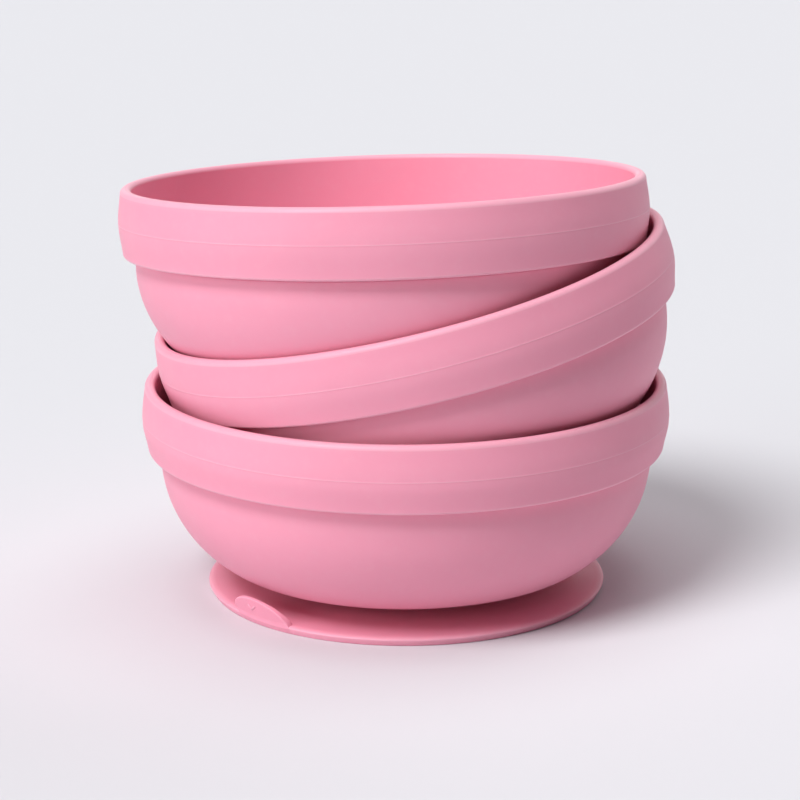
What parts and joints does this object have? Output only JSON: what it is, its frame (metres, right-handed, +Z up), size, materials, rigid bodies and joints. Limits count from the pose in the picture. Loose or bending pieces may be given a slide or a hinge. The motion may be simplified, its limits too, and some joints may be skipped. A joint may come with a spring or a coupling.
{
  "type": "suction bowl",
  "caption": "Stack of round silicone suction bowls for a baby, each with a wide rim band, a suction disc under it and a finger tab that breaks the seal.",
  "frame": {"origin": "centre of the bottom bowl's sealing face, on the surface it stands on", "axes": "+Z up along the bottom bowl's axis, -Y towards the front, +X to the right; the middle bowl leans towards -X"},
  "size_m": [0.1311, 0.1258, 0.1042],
  "materials": {
    "bowl_silicone": "matte pink food-grade silicone, soft-touch moulded surface",
    "base_silicone": "matte pink silicone, smooth sealing lip",
    "tab_silicone": "matte pink silicone with a small raised lift mark"
  },
  "bodies": {
    "bottom_bowl": {"bottom_bowl_shell": "bowl_silicone", "bottom_suction_base": "base_silicone"},
    "bottom_tab": {"bottom_pull_tab": "tab_silicone"},
    "middle_bowl": {"middle_bowl_shell": "bowl_silicone", "middle_suction_base": "base_silicone"},
    "middle_tab": {"middle_pull_tab": "tab_silicone"},
    "top_bowl": {"top_bowl_shell": "bowl_silicone", "top_suction_base": "base_silicone"},
    "top_tab": {"top_pull_tab": "tab_silicone"}
  },
  "joints": [
    {"name": "middle_lift", "type": "slide", "parent": "bottom_bowl", "child": "middle_bowl", "axis": [0, 0, 1], "range_m": [0, 0.06]},
    {"name": "top_lift", "type": "slide", "parent": "middle_bowl", "child": "top_bowl", "axis": [-0.2266, -0.0152, 0.9739], "range_m": [0, 0.06]},
    {"name": "bottom_tab_bend", "type": "hinge", "parent": "bottom_bowl", "child": "bottom_tab", "pos_m": [-0.03554, -0.03256, 0.00215], "axis": [0.6756, -0.7373, 0], "range_deg": [0, 55], "stiffness_Nm_per_rad": 0.02},
    {"name": "middle_tab_bend", "type": "hinge", "parent": "middle_bowl", "child": "middle_tab", "pos_m": [-0.03664, 0.00111, 0.02132], "axis": [0.0034, -0.9999, -0.0148], "range_deg": [0, 30], "stiffness_Nm_per_rad": 0.02},
    {"name": "top_tab_bend", "type": "hinge", "parent": "top_bowl", "child": "top_tab", "pos_m": [0.04128, 0.01342, 0.05447], "axis": [-0.343, 0.9362, -0.0761], "range_deg": [0, 30], "stiffness_Nm_per_rad": 0.02}
  ]
}
